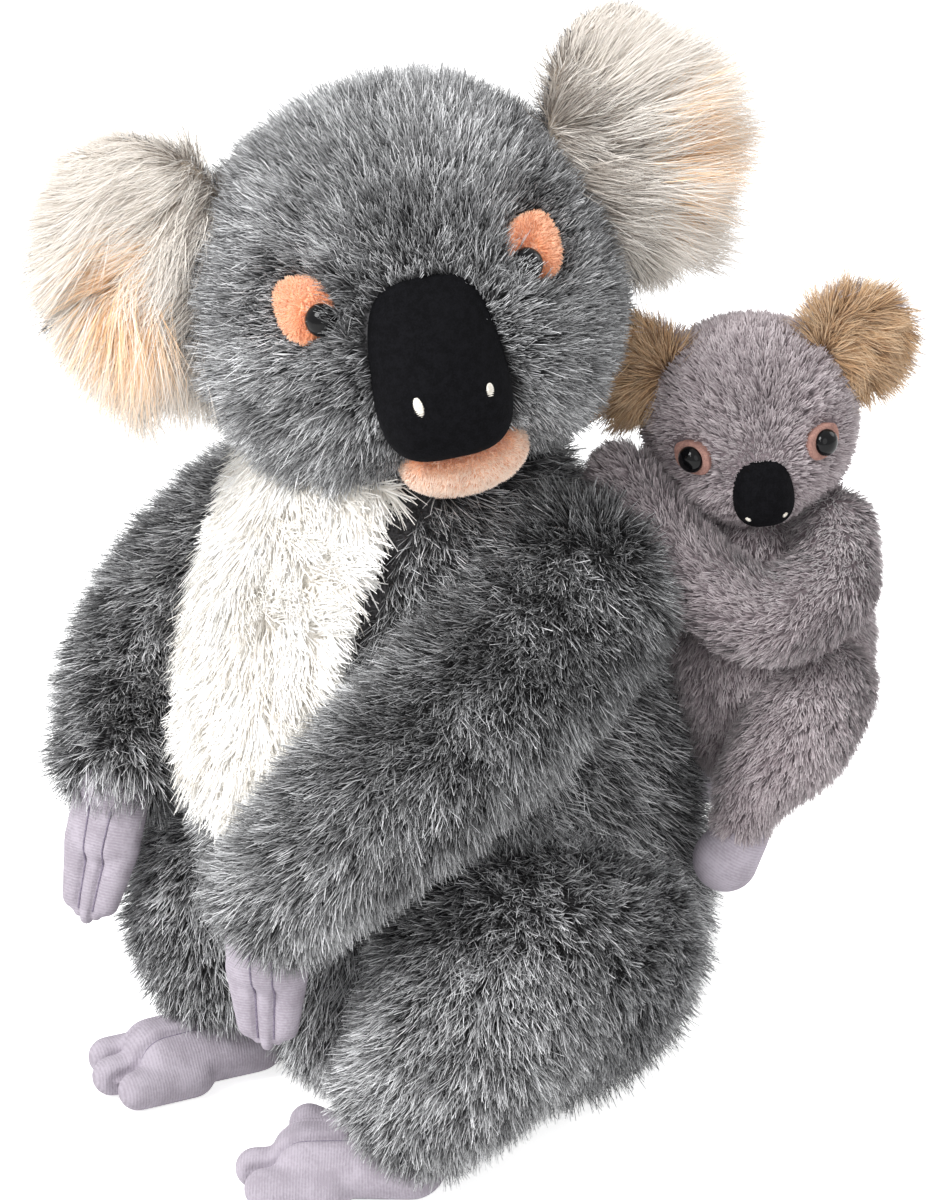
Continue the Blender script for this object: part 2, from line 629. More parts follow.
def makeCamera():
    # The target falls on its pixel, so the aim is that far from the picture's middle; the lens sets the scale
    azimuth, elevation = math.radians(view["azimuth"]), math.radians(view["elevation"])
    back = np.array([math.sin(azimuth) * math.cos(elevation), -math.cos(azimuth) * math.cos(elevation),
                     math.sin(elevation)])
    right = np.array([math.cos(azimuth), math.sin(azimuth), 0])
    above = np.cross(back, right)
    width, height = view["picture"]
    across = (width / 2 - view["targetPixel"][0]) / view["pixelsPerMm"]
    upward = (view["targetPixel"][1] - height / 2) / view["pixelsPerMm"]
    aim = np.array(view["target"]) + across * right + upward * above
    camera = bpy.data.objects.new("camera", bpy.data.cameras.new("camera"))
    scene.collection.objects.link(camera)
    camera.data.sensor_fit = "VERTICAL"
    camera.data.sensor_height = view["sensor"]
    camera.data.lens = view["sensor"] * view["pixelsPerMm"] * view["distance"] / height
    camera.data.clip_start, camera.data.clip_end = 0.05, 20
    camera.location = Vector((aim + view["distance"] * back) * mm)
    camera.rotation_euler = Vector(-back).to_track_quat("-Z", "Y").to_euler()
    scene.camera = camera


studio = {
    "floorSize": 6000, "floorShade": "#ececec", "floorLift": 0.8,
    "worldShade": "#ffffff", "worldStrength": 0.58,
    "lamps": [
        ("key lamp", (0, -1200, 1350), 800, 28.0),
        ("fill lamp", (1500, -500, 800), 1200, 5.0),
        ("back lamp", (500, 1500, 1100), 1000, 8.0),
        ("catch light", (500, -1500, 1000), 70, 1.2),
    ],
}


def seenRay(tree):
    # 1 for a ray from the camera, off a gloss or through a clear thing, and 0 for any other
    path = addNode(tree, "ShaderNodeLightPath").node
    seen = path.outputs["Is Camera Ray"]
    for kind in ("Is Glossy Ray", "Is Transmission Ray"):
        seen = addNode(tree, "ShaderNodeMath", {"Value": seen}, operation="MAXIMUM")
        tree.links.new(path.outputs[kind], seen.node.inputs[1])
    return seen


def makeStage():
    # Only what such a ray sees of the floor and the air is lifted to white
    material, tree, shader = startMaterial("white paper", Roughness=0.9)
    shader.inputs["Base Color"].default_value = linear(studio["floorShade"])
    lift = addNode(tree, "ShaderNodeMath", {"Value": seenRay(tree)}, operation="MULTIPLY")
    lift.node.inputs[1].default_value = studio["floorLift"]
    shader.inputs["Emission Color"].default_value = linear("#ffffff")
    tree.links.new(lift, shader.inputs["Emission Strength"])
    half = studio["floorSize"] / 2 * mm
    mesh = bpy.data.meshes.new("floor")
    corners = [(-half, -half, 0), (half, -half, 0), (half, half, 0), (-half, half, 0)]
    mesh.from_pydata(corners, [], [(0, 1, 2, 3)])
    mesh.materials.append(material)
    floor = bpy.data.objects.new("floor", mesh)
    scene.collection.objects.link(floor)
    world = bpy.data.worlds.new("studio air")
    scene.world = world
    world.use_nodes = True
    air = world.node_tree
    strength = addNode(
        air, "ShaderNodeMapRange", {"Value": seenRay(air), "To Min": studio["worldStrength"], "To Max": 1.0})
    background = air.nodes["Background"]
    background.inputs["Color"].default_value = linear(studio["worldShade"])
    air.links.new(strength, background.inputs["Strength"])


def makeLamps():
    for name, place, size, power in studio["lamps"]:
        lamp = bpy.data.lights.new(name, "AREA")
        lamp.shape, lamp.size, lamp.energy = "DISK", size * mm, power
        holder = bpy.data.objects.new(name, lamp)
        scene.collection.objects.link(holder)
        holder.location = Vector(place) * mm
        aim = Vector(view["target"]) * mm - holder.location
        holder.rotation_euler = aim.to_track_quat("-Z", "Y").to_euler()


makeCamera()
makeStage()
makeLamps()
print("camera, floor and lamps made")


# The mother's torso and bib

torso = {
    "height": 232, "halfWidth": 82, "halfDepth": 84, "lean": 19, "ground": 0.5, "backing": -3,
    "heightShares": [0, 0.05, 0.17, 0.35, 0.53, 0.71, 0.87, 1],
    "widthShares": [0.62, 0.82, 0.96, 1, 0.98, 0.9, 0.74, 0.53],
    "depthShares": [0.62, 0.82, 0.96, 1, 0.98, 0.88, 0.71, 0.52],
    "leanShares": [-0.37, -0.37, -0.3, 0, 0.4, 0.6, 0.8, 1],
}
bib = {"halfWidth": 43, "height": 116, "shiftRight": 14, "rise": 1, "thickness": 3, "spread": 7}
bodyPile = {
    "length": 9.2, "lengthSpread": 0.4, "lean": 40, "leanSpread": 20, "width": 0.36, "tipWidth": 0.4,
    "segments": 1, "tuft": 5, "tuftLength": 0.08, "pull": 0.22, "tuftSwing": 30, "stray": 26, "roll": 60,
    "wave": 28, "waveSize": 26, "tuftTone": 0.25, "strandTone": 1.0, "patchTone": 0.42,
}


def torsoSection(share):
    # Half-width, half-depth and middle at shares of the torso's run of sections
    return (torso["halfWidth"] * through(torso["widthShares"], share),
            torso["halfDepth"] * through(torso["depthShares"], share),
            -torso["lean"] * through(torso["leanShares"], share))


def torsoAt(z):
    # The section at heights, read back from the heights of 400 sections
    shares = np.linspace(0, 1, 400)
    heights = through(torso["heightShares"], shares) * torso["height"]
    return torsoSection(np.interp(z, heights, shares))


def torsoSurface(grow, rows=70, columns=90):
    # Ovals up a leaning spine: middle + (w cos, d sin), flat where they meet the ground
    shares = np.linspace(0, 1, rows)
    halfWidth, halfDepth, middle = torsoSection(shares)
    low = -torso["ground"] - grow
    z = low + through(torso["heightShares"], shares) * (torso["height"] + grow - low)
    turn = np.linspace(0, 2 * math.pi, columns, endpoint=False)
    grid = np.stack([
        (halfWidth + grow)[:, None] * np.cos(turn),
        middle[:, None] + (halfDepth + grow)[:, None] * np.sin(turn),
        np.repeat(np.maximum(z, torso["ground"])[:, None], columns, axis=1),
    ], axis=-1)
    ends = [drawnIn(grid[:1]), drawnIn(grid[-1:])]
    halfway = [(ends[0] + grid[:1]) / 2, (ends[1] + grid[-1:]) / 2]
    return surfaceFrom(np.concatenate([ends[0], halfway[0], grid, halfway[1], ends[1]]))


def bibHalf(z):
    # Full width down to the middle of its height, then half-width (1 - t^2) to a point at its foot
    halfHeight = bib["height"] / 2
    foot = torso["height"] - bib["height"]
    t = 1 - np.sqrt(np.clip((z - foot) / halfHeight, 0, 1))
    return bib["halfWidth"] * (1 - t * t)


def bibDepth(points):
    # How far torso points lie inside the bib's outline; negative outside it
    middle = torsoAt(points[:, 2])[2]
    inside = bibHalf(points[:, 2]) - np.abs(points[:, 0] + bib["shiftRight"])
    above = points[:, 2] - (torso["height"] - bib["height"])
    return np.where(points[:, 1] < middle, np.minimum(inside, above), -50.0)


def bibUpperLeft(points):
    # 1 by the bib's edge under the mother's left shoulder, where its locks lie over the grey
    return smoothStep(points[:, 0] + bib["shiftRight"], 0, 25) * smoothStep(points[:, 2], 140, 185)


def limbFrom(root, side, reach):
    # A limb's spine from its root, by steps out to its side, forward and up
    steps = zip(reach["out"], reach["forward"], reach["up"])
    return np.array([root] + [root + np.array([side * out, -forward, up]) for out, forward, up in steps])


arms = {
    "left": {"out": [6, 0, -24], "forward": [42, 84, 104], "up": [-24, -52, -87],
             "turn": 38, "lean": 0, "splay": 0},
    "right": {"out": [25, 28, 8], "forward": [28, 60, 90], "up": [-27, -55, -81],
              "turn": 30, "lean": 18, "splay": 6},
}
armRadii = [32, 31, 26, 19]
legs = {
    "left": {"out": [12, 18, 6], "forward": [32, 56, 72], "up": [9, -9, -37],
             "turn": -42, "bigToe": (12, 8)},
    "right": {"out": [-4, -8, -21], "forward": [32, 54, 60], "up": [5, -14, -38],
              "turn": -14, "bigToe": (0, 0)},
}
legRadii = [46, 43, 34, 24]
for hand, side in hands:
    arms[hand]["spine"] = limbFrom(jointPlace[f"{hand}_arm_swing"], side, arms[hand])
    legs[hand]["spine"] = limbFrom(jointPlace[f"{hand}_hip_flex"], side, legs[hand])


def downward(points, normals, carried):
    return np.broadcast_to(down, points.shape)


def alongLimb(points, normals, carried):
    return unit(carried + 0.35 * down)


def bareTorso(points, margin=5):
    # True where the torso's own pile shows: outside the bib and outside every limb
    kept = bibDepth(points) < -1 - bib["spread"] * bibUpperLeft(points)
    for hand, _ in hands:
        kept &= limbDepth(points, arms[hand]["spine"], armRadii) < margin
        kept &= limbDepth(points, legs[hand]["spine"], legRadii) < margin
    return kept & (points[:, 2] > 1.5)


def makeTorso():
    surface = torsoSurface(torso["backing"])
    newSkin("torso_backing", surface, greyBacking, "torso", nodes=["torso_skin"])
    for name, faceSide, seed, strands in (("front", -1, 11, 160000), ("back", 1, 12, 105000)):
        growPile(
            f"torso_plush_{name}", surface, dict(bodyPile, strands=strands), "torso", greyPile,
            seed, flow=downward,
            keep=lambda points, s=faceSide: bareTorso(points) & (s * (points[:, 1] + torso["lean"] / 2) >= 0))
    wad = torsoSurface(-9, 30, 48)
    wad["points"] = wad["points"] * (1 + 0.01 * ripple(wad["points"], 14, 5)[:, None])
    newSkin("torso_wad", wad, fibreWad, "torso", nodes=["torso_stuffing"])


bibPile = {
    "strands": 42000, "length": 11.5, "lengthSpread": 0.35, "lean": 62, "leanSpread": 12, "width": 0.6,
    "tipWidth": 0.4, "segments": 2, "tuft": 8, "tuftLength": 0.15, "pull": 0.26, "tuftSwing": 44,
    "stray": 16, "roll": 25, "wave": 25, "waveSize": 24, "tuftTone": 0.5, "strandTone": 0.6, "patchTone": 0.0,
    "curl": 0.6, "curls": 0.6,
}


def makeBib():
    # A shield over the torso's front: x runs across it and y lies on the torso's oval
    rows, columns = 60, 60
    z = np.linspace(torso["height"], torso["height"] - bib["height"] + 0.5, rows)[:, None]
    across = np.sin(np.linspace(-math.pi / 2, math.pi / 2, columns))[None]
    x = bibHalf(z) * across - bib["shiftRight"]
    halfWidth, halfDepth, middle = torsoAt(z)
    sheets = []
    for rise in (bib["rise"], bib["rise"] - bib["thickness"]):
        y = middle - (halfDepth + rise) * np.sqrt(np.maximum(1 - (x / (halfWidth + rise)) ** 2, 0))
        sheets.append(np.stack([x, y, z + 0 * x], axis=-1))
    around = np.concatenate([sheets[0], sheets[1][:, ::-1]], axis=1)
    surface = surfaceFrom(np.concatenate([drawnIn(around[:1]), around, drawnIn(around[-1:])]))
    newSkin("bib_backing", surface, whiteBacking, "torso", nodes=["chest_bib"])
    chin = jointPlace["neck_turn"]

    def showing(points):
        middle = torsoAt(points[:, 2])[2]
        onFront = (points[:, 1] < middle + 3) & (points[:, 2] < torso["height"] - 0.5)
        clear = limbDepth(points, arms["left"]["spine"], armRadii) < 4
        clear &= limbDepth(points, arms["right"]["spine"], armRadii) < 4
        return onFront & clear & (np.linalg.norm(points - chin, axis=1) > 40)

    def spreading(points, normals, carried):
        return down + 1.5 * bibUpperLeft(points)[:, None] * sideAxis

    growPile("bib_plush", surface, bibPile, "torso", whitePile, 21,
             flow=spreading, keep=showing)


# The mother's head and face

head = {
    "halfWidth": 67, "halfDepth": 62, "halfHeight": 62, "turn": 58, "raise": 6, "roll": 13, "neckDrop": 15,
    "neckRadius": 55, "backing": -3, "joeySideWidth": 0.965,
    "swellings": [((0, -1, -0.36), 11, 34), ((1, -0.6, -0.6), 5, 36), ((-1, -0.6, -0.6), 5, 36)],
}
nose = {
    "halfWidth": 22.5, "halfHeight": 29, "front": 17, "back": 5, "sink": 9, "drop": 12, "tilt": 14,
    "narrowTop": 0.13, "squareness": 3.2, "nostrilSpacing": 22, "nostrilDrop": 12,
    "nostrilHalf": (1.9, 3.9), "nostrilRise": 0.9, "turn": 4, "shift": -2, "nostrilShift": 2,
}
lip = {"half": (20, 15.5, 11), "drop": 45.5, "sink": 20}
eyes = {"spacing": 64, "raise": 10, "radius": 5.2, "bulge": 4.4, "patchOut": 4.4, "patchUp": 3.4,
        "patchHalf": (7.8, 9.4), "patchRise": 1.6, "notch": (4.4, 3.4),
        "fringeIn": {"left": 5.2, "right": 6.5}, "fringeHalf": (3.2, 6.4), "fringeDrop": 3.4,
        "fringeReach": 0.85}
patchSquareness = 2.5
headMatrix = placed(
    jointPlace["neck_turn"] + head["neckDrop"] * upAxis, head["turn"], -head["raise"], -head["roll"])
neckInHead = into(-head["neckDrop"] * upAxis, headMatrix)
headPile = dict(bodyPile, length=9.8)


def frontGap(points, centre, half):
    # How far places seen from the front lie from an oval: 1 on its outline
    return np.hypot((points[:, 0] - centre[0]) / half[0], (points[:, 2] - centre[1]) / half[1])


def noseGap(points, sizes):
    # The same for the nose's squared and tapered outline: (|x / a|^n + |z / b|^n)^(1 / n)
    turn = math.radians(sizes.get("turn", 0))
    across, above = points[:, 0] - sizes.get("shift", 0), points[:, 2] + sizes["drop"]
    z = (above * math.cos(turn) - across * math.sin(turn)) / sizes["halfHeight"]
    x = (across * math.cos(turn) + above * math.sin(turn)) / sizes["halfWidth"]
    x = x / (1 - sizes["narrowTop"] * (np.clip(z, -1, 1) + 1) / 2)
    power = sizes["squareness"]
    return (np.abs(x) ** power + np.abs(z) ** power) ** (1 / power)


def facePieces(sizes):
    # The ovals seen from the front that the pile leaves bare: centre and half sizes
    places = []
    for _, side in hands:
        centre = (side * (sizes["spacing"] / 2 + sizes["patchOut"]), sizes["raise"] + sizes["patchUp"])
        places.append((centre, sizes["patchHalf"]))
    return places


def inNotch(x, z, side, sizes):
    # 1 in the patch's lower corner toward the nose, 0 elsewhere
    across, below = sizes["notch"]
    across = across - 2.2 * np.clip(sizes["raise"] - 1.5 - z, 0, 5)
    inward = smoothStep(sizes["spacing"] / 2 - across + 1 - side * x, -0.8, 0.8)
    return inward * smoothStep(sizes["raise"] + below - z, -0.8, 0.8)


def headTrim(points):
    # The pile's length as a share: clipped short round the eyes, the nose and the lip
    share = np.ones(len(points))
    front = smoothStep(-points[:, 1], 0, 15)
    for centre, half in facePieces(eyes):
        share = np.minimum(share, 0.4 + 0.6 * smoothStep(frontGap(points, centre, half), 1, 1.9))
    lipGap = frontGap(points, (0, -lip["drop"]), (lip["half"][0], lip["half"][2]))
    share = np.minimum(share, 0.45 + 0.55 * smoothStep(noseGap(points, nose), 1, 1.5))
    share = np.minimum(share, 0.3 + 0.7 * smoothStep(lipGap, 1.0, 1.8))
    flatter = 1 - 0.35 * smoothStep(points[:, 0], 25, 60)  # the side that turns to the joey lies flat
    return (1 + front * (share - 1)) * flatter


def headShows(points):
    kept = np.linalg.norm(points - neckInHead - into((0, 0, -55), headMatrix), axis=1) > 30
    front = points[:, 1] < 0
    for (centre, half), (_, side) in zip(facePieces(eyes), hands):
        # The pile closes in on the patch's lower inner corner, up to the eye itself
        corner = inNotch(points[:, 0], points[:, 2], side, eyes) > 0.3
        corner &= frontGap(points, (side * eyes["spacing"] / 2, eyes["raise"]), (eyes["radius"],) * 2) > 1.15
        kept &= ~front | corner | (frontGap(points, centre, half) > 0.97)
    kept &= ~front | (noseGap(points, nose) > 0.93)
    kept &= ~front | (frontGap(points, (0, -lip["drop"]), (lip["half"][0], lip["half"][2])) > 1.0)
    return kept


def headShade(points):
    # Darker low on the cheeks and on the side turned to the joey
    return -0.1 * smoothStep(-points[:, 2], 0, 40) - 0.16 * smoothStep(points[:, 0], 20, 58)


def headLay(points, normals, carried):
    # Away from the nose over the face, and down at the back
    away = unit(points - np.array([0, -70, -nose["drop"] - 4]))
    behind = smoothStep(points[:, 1], -5, 45)[:, None]
    low = into(down, headMatrix)
    return unit((1 - behind) * away + behind * low * 1.2 + 0.15 * low)


fringePile = dict(
    headPile, strands=3000, length=8.6, lean=28, leanSpread=12, tuftLength=0, tuftSwing=10, stray=14, wave=5)


def makeHead():
    skin = headSurface(head, head["backing"])
    across = skin["points"][:, 0]
    skin["points"][:, 0] = np.where(across > 0, head["joeySideWidth"], 1) * across
    newSkin("head_backing", skin, greyBacking, "head", headMatrix, nodes=["head_skin"])
    for name, sign, seed, strands in (("face", -1, 31, 180000), ("back", 1, 32, 115000)):
        growPile(
            f"head_plush_{name}", skin, dict(headPile, strands=strands), "head", greyPile, seed,
            headMatrix, flow=headLay,
            keep=lambda points, s=sign: headShows(points) & (s * (points[:, 1] - 8) >= 0), length=headTrim,
            lighter=headShade)
    wad = headSurface(head, -9, 30, 48)
    wad["points"] = wad["points"] * (1 + 0.012 * ripple(wad["points"], 12, 6)[:, None])
    newSkin("head_wad", wad, fibreWad, "head", headMatrix, nodes=["head_stuffing"])
    neckWad = limbSurface([(0, 0, -6), (0, 0, 4)], [13, 13], 0, 0.9, steps=8, sides=32)
    neckWad["points"] = neckWad["points"] * (1 + 0.03 * ripple(neckWad["points"], 6, 9)[:, None])
    seam = placed(jointPlace["neck_turn"] - (head["neckRadius"] - 4) * upAxis)
    newSkin("neck_wad", neckWad, fibreWad, "neck", seam, nodes=["neck_stuffing"])


def patchSurface(shape, centre, half, rise, dip=None, rows=20, columns=60):
    # An oval on the face: out to its rim on top, back beneath, lifted by rise or let down by dip
    angle = np.linspace(0, math.pi, rows)[:, None]
    turn = np.linspace(0, 2 * math.pi, columns, endpoint=False)[None]
    corners = np.abs(np.cos(turn)) ** patchSquareness + np.abs(np.sin(turn)) ** patchSquareness
    squared = corners ** (-1 / patchSquareness)
    x = centre[0] + half[0] * np.sin(angle) * np.cos(turn) * squared
    z = centre[1] + half[1] * np.sin(angle) * np.sin(turn) * squared
    places = facePoints(shape, x, z)
    lift = rise * (0.2 + 0.8 * np.clip(np.cos(angle) * 1.6, 0, 1) ** 0.5) + 0 * x
    if dip is not None:
        lift = lift - 4.5 * dip(x, z)
    lift = np.where(np.cos(angle) + 0 * x < 0, -5.0, lift)
    length = np.linalg.norm(places, axis=-1)
    return surfaceFrom(places * (1 + lift / length)[..., None])


def eyeTone(place):
    # Deep orange beside the eye, pale further out
    def tone(points, draws, dice):
        away = np.linalg.norm(points - place, axis=1)
        return 0.15 + 0.6 * smoothStep(away, 5, 13) + 0.25 * dice.random(len(points))
    return tone


def makeEyes(prefix, body, shape, sizes, matrix, patchMaterial, fuzz=None, seed=41):
    for k, (hand, side) in enumerate(hands):
        centre, half = facePieces(sizes)[k]
        dip = (lambda x, z, side=side: inNotch(x, z, side, sizes)) if "notch" in sizes else None
        patch = patchSurface(shape, centre, half, sizes["patchRise"], dip)
        newSkin(f"{prefix}{hand}_patch", patch, patchMaterial, body, matrix,
                nodes=[f"{prefix}{hand}_eye_patch"])
        point, outward = facePlace(shape, side * sizes["spacing"] / 2, sizes["raise"])
        if fuzz:
            growPile(f"{prefix}{hand}_patch_nap", patch, fuzz["pile"], body, fuzz["material"],
                     seed + k, matrix, flow=lambda points, normals, carried: unit(points - points.mean(axis=0)),
                     tone=eyeTone(point), keep=lambda points: (points @ outward) > 0)
        if "notch" in sizes:
            spot = (side * (sizes["spacing"] / 2 - sizes["fringeIn"][hand]), sizes["raise"] - sizes["fringeDrop"])
            fringe = patchSurface(shape, spot, sizes["fringeHalf"], head["backing"])
            growPile(f"{prefix}{hand}_eye_fringe", fringe, fringePile, body, greyPile, seed + 5 + k,
                     matrix, flow=headLay,
                     keep=lambda points: ((points @ outward) > 0) & (side * (points[:, 0] - spot[0]) > -0.5)
                     & (frontGap(points, spot, sizes["fringeHalf"]) < sizes["fringeReach"]))
        seat = facing(point + outward * (sizes["patchRise"] + 0.2), outward)
        dome = padSurface({"halfWidth": sizes["radius"], "halfHeight": sizes["radius"],
                           "front": sizes["bulge"], "back": 2.0}, rings=14, sides=48)
        newSkin(f"{prefix}{hand}_glossy_eye", dome, glossBlack, body, matrix @ seat,
                nodes=[f"{prefix}{hand}_eye"])
        washer = frame["nodes"][f"{prefix}{hand}_eye_washer"]
        washer.data.materials.clear()
        washer.data.materials.append(whitePlastic)


def noseMatrix(shape, sizes):
    # The pad's own frame: sunk into the face below its middle, its top tilted back
    point = facePoints(shape, np.array([0.0]), np.array([-float(sizes["drop"])]))[0]
    place = (sizes.get("shift", 0), point[1] + sizes["sink"], -sizes["drop"])
    return placed(place, 0, -sizes["tilt"], sizes.get("turn", 0))


def makeNose(prefix, body, shape, sizes, matrix):
    pad = padSurface(sizes, rings=24, sides=80)
    place = matrix @ noseMatrix(shape, sizes)
    newSkin(f"{prefix}nose", pad, blackVelour, body, place, nodes=[f"{prefix}nose_pad"])
    for hand, side in hands:
        # Satin stitches side by side across a small oval, each a fine ridge of thread
        x, z = side * sizes["nostrilSpacing"] / 2 + sizes.get("nostrilShift", 0), -sizes["nostrilDrop"]
        share = math.hypot(x / sizes["halfWidth"], z / sizes["halfHeight"])
        depth = -sizes["front"] * math.sqrt(1 - share ** 2)
        halfX, halfZ = sizes["nostrilHalf"]
        stitch = padSurface({"halfWidth": halfX, "halfHeight": halfZ, "front": sizes["nostrilRise"], "back": 1.5},
                            rings=16, sides=60)
        ridges = 0.12 * np.cos(2 * math.pi * stitch["points"][:, 2] / 0.6)
        stitch["points"][:, 1] -= np.where(stitch["points"][:, 1] < 0, ridges, 0)
        slope = math.degrees(math.atan2(x / sizes["halfWidth"] ** 2, math.sqrt(1 - share ** 2) / sizes["front"]))
        tip = math.degrees(math.atan2(-z / sizes["halfHeight"] ** 2, math.sqrt(1 - share ** 2) / sizes["front"]))
        newSkin(f"{prefix}{hand}_nostril", stitch, whiteThread, body,
                place @ placed((x, depth, z), slope, tip), nodes=[f"{prefix}{hand}_nostril_stitch"])


napPile = {
    "strands": 7000, "length": 1.3, "lengthSpread": 0.3, "lean": 40, "leanSpread": 16, "width": 0.3,
    "tipWidth": 0.3, "segments": 1, "tuft": 2.5, "tuftLength": 0, "pull": 0.1, "tuftSwing": 40,
    "stray": 20, "roll": 40,
    "wave": 30, "waveSize": 8, "tuftTone": 0.4, "strandTone": 0.7, "patchTone": 0.2,
}
peachNap = {"material": pileMaterial("peach short nap", {
    "root": "#d98a5c", "tip": "#fdd9bf", "tipShare": 0.3, "rootEnd": 0.4, "sheen": 0.3,
    "tones": [(0.0, "#d97f4c"), (0.35, "#ee9f6e"), (1.0, "#fbcbaa")]}), "pile": napPile}
lipNap = {"material": pileMaterial("pale peach short nap", {
    "root": "#e8a676", "tip": "#fff6f0", "tipShare": 0.4, "rootEnd": 0.35, "sheen": 0.7,
    "tones": [(0.0, "#e07f3e"), (0.3, "#f3ae7e"), (0.7, "#fbd3b5"), (1.0, "#ffecdc")]}),
    "pile": dict(napPile, strands=22000)}


def makeLip():
    # An egg under the nose, its nap laid outwards
    chin = facePoints(head, np.array([0.0]), np.array([-float(lip["drop"])]))[0]
    polar = np.linspace(0, math.pi, 40)[:, None]
    turn = np.linspace(0, 2 * math.pi, 64, endpoint=False)[None]
    centre = np.array([0, chin[1] + lip["sink"] - lip["half"][1], -lip["drop"]])
    grid = centre + np.array(lip["half"]) * np.stack([
        np.sin(polar) * np.cos(turn), -np.cos(polar) + 0 * turn, np.sin(polar) * np.sin(turn)], axis=-1)
    surface = surfaceFrom(grid)
    newSkin("lip_pad", surface, lipPlush, "head", headMatrix, nodes=["lower_lip"])

    def lipTone(points, draws, dice):
        # Deep orange in the fold under the nose, pale toward the rim
        return 0.02 + 0.73 * smoothStep(noseGap(points, nose), 1.0, 1.2) + 0.25 * dice.random(len(points))

    growPile("lip_nap", surface, lipNap["pile"], "head", lipNap["material"], 51, headMatrix,
             flow=lambda points, normals, carried: unit(points - centre) + into(down, headMatrix),
             tone=lipTone, keep=lambda points: points[:, 1] < centre[1] + 4)


makeTorso()
makeBib()
print("torso and bib made")
makeHead()
makeEyes("", "head", head, eyes, headMatrix, peachPlush, peachNap)
makeNose("", "head", head, nose, headMatrix)
makeLip()
print("head and face made")


# The mother's ears

ear = {
    "out": 80, "behind": 4, "up": 27, "toeIn": {"left": 34, "right": 14},
    "halfWidth": 33, "halfHeight": 42, "front": 12, "back": 8,
    "gap": 0.3, "hub": (44, 4), "trim": {"left": (0.4, 0.4), "right": (0.4, 0.25)},
}
earPile = {
    "strands": 36000, "length": 23, "lengthSpread": 0.4, "lean": 60, "leanSpread": 20, "width": 0.32,
    "tipWidth": 0.12, "segments": 2, "tuft": 11, "tuftLength": 0.42, "pull": 0.26, "tuftSwing": 34,
    "stray": 12, "roll": 45,
    "wave": 34, "waveSize": 22, "tuftTone": 0.4, "strandTone": 0.7, "patchTone": 0.0,
}
earBackPile = dict(bodyPile, strands=26000, length=8)


def earShape(sizes, front, back, shift=0.0):
    pad = padSurface({"halfWidth": sizes["halfWidth"], "halfHeight": sizes["halfHeight"], "front": front,
                      "back": back})
    pad["points"] = pad["points"] + np.array([0, shift, 0])
    return pad


def earTone(sizes, side):
    # Dark beside the head, peach in the middle and cream outside, broken up tuft by tuft
    def tone(points, draws, dice):
        across = side * points[:, 0] / sizes["halfWidth"]
        upward = points[:, 2] / sizes["halfHeight"]
        strand = dice.random(len(points))
        cream = 0.34 + 0.42 * np.clip(0.5 * draws[:, 2] + 0.6 * strand, 0, 1)
        middle = np.hypot(across - 0.05, upward + 0.12) + 0.2 * (draws[:, 0] - 0.5) + 0.5 * (strand - 0.5)
        shade = np.where(middle < 0.4, 0.83 + 0.16 * strand, cream)
        beside = across + 0.35 * (draws[:, 1] - 0.5) + 0.6 * (strand - 0.5)
        return np.where(beside < -0.72, 0.04 + 0.26 * strand, shade)
    return tone


def makeEars():
    for k, (hand, side) in enumerate(hands):
        matrix = headMatrix @ placed((side * ear["out"], ear["behind"], ear["up"]), side * ear["toeIn"][hand])
        hub = np.array([-side * ear["hub"][0], 0, ear["hub"][1]])

        def outward(points, normals, carried, hub=hub, matrix=matrix):
            # Away from the seam at the head, with the lower locks hanging a little
            return unit(points - hub) + 0.5 * into(down, matrix)

        def longer(points, hand=hand, side=side):
            # Long over the pad and shorter at its rim, so that the locks end a little past it
            outer, top = ear["trim"][hand]
            across, upward = side * points[:, 0] / ear["halfWidth"], points[:, 2] / ear["halfHeight"]
            rim = smoothStep(np.hypot(across, upward), 0.35, 1)
            return 1 - 0.4 * rim - outer * smoothStep(across, 0.3, 1) - top * smoothStep(upward, 0.2, 1)

        front = earShape(ear, ear["front"] - 3, 0.5)
        newSkin(f"{hand}_ear_cream_backing", front, creamBacking, f"{hand}_ear", matrix,
                nodes=[f"{hand}_ear_front"])
        growPile(f"{hand}_ear_cream_plush", front, earPile, f"{hand}_ear", creamPile, 61 + k,
                 matrix, flow=outward, length=longer, tone=earTone(ear, side),
                 keep=lambda points: points[:, 1] < 0.4)
        back = earShape(ear, 0.5, ear["back"] - 2, ear["gap"])
        newSkin(f"{hand}_ear_grey_backing", back, greyBacking, f"{hand}_ear", matrix,
                nodes=[f"{hand}_ear_back"])
        growPile(f"{hand}_ear_grey_plush", back, earBackPile, f"{hand}_ear", greyPile, 63 + k,
                 matrix, flow=outward, keep=lambda points: points[:, 1] > 0.2,
                 length=lambda points: 1 - 0.7 * smoothStep(points[:, 2], 0, 0.8 * ear["halfHeight"]))


# The mother's arms and legs

armPile = dict(bodyPile, strands=82000)
legPile = dict(bodyPile, strands=90000)
limbBacking = -3
armDarker = 0.12
legLighter = 0.1
cuff = {"armShare": 0.3, "legShare": 0.35}


def sleeveSurface(spine, radii, endShare, grow=limbBacking, steps=64, sides=64):
    # A limb whose far end is nearly flat, where a hand or a foot leaves it
    surface = limbSurface(spine, radii, grow, steps=steps, sides=sides)
    end = np.asarray(spine, float)[-1]
    along = unit(end - through(np.asarray(spine, float), np.array([0.97]))[0])
    past = (surface["points"] - end) @ along
    over = np.where(past > 0, past * (1 - endShare), 0)
    near = np.linalg.norm(surface["points"] - end, axis=1) < 1.5 * max(radii[-1], 1)
    surface["points"] = surface["points"] - (over * near)[:, None] * along
    return withNormals(surface)


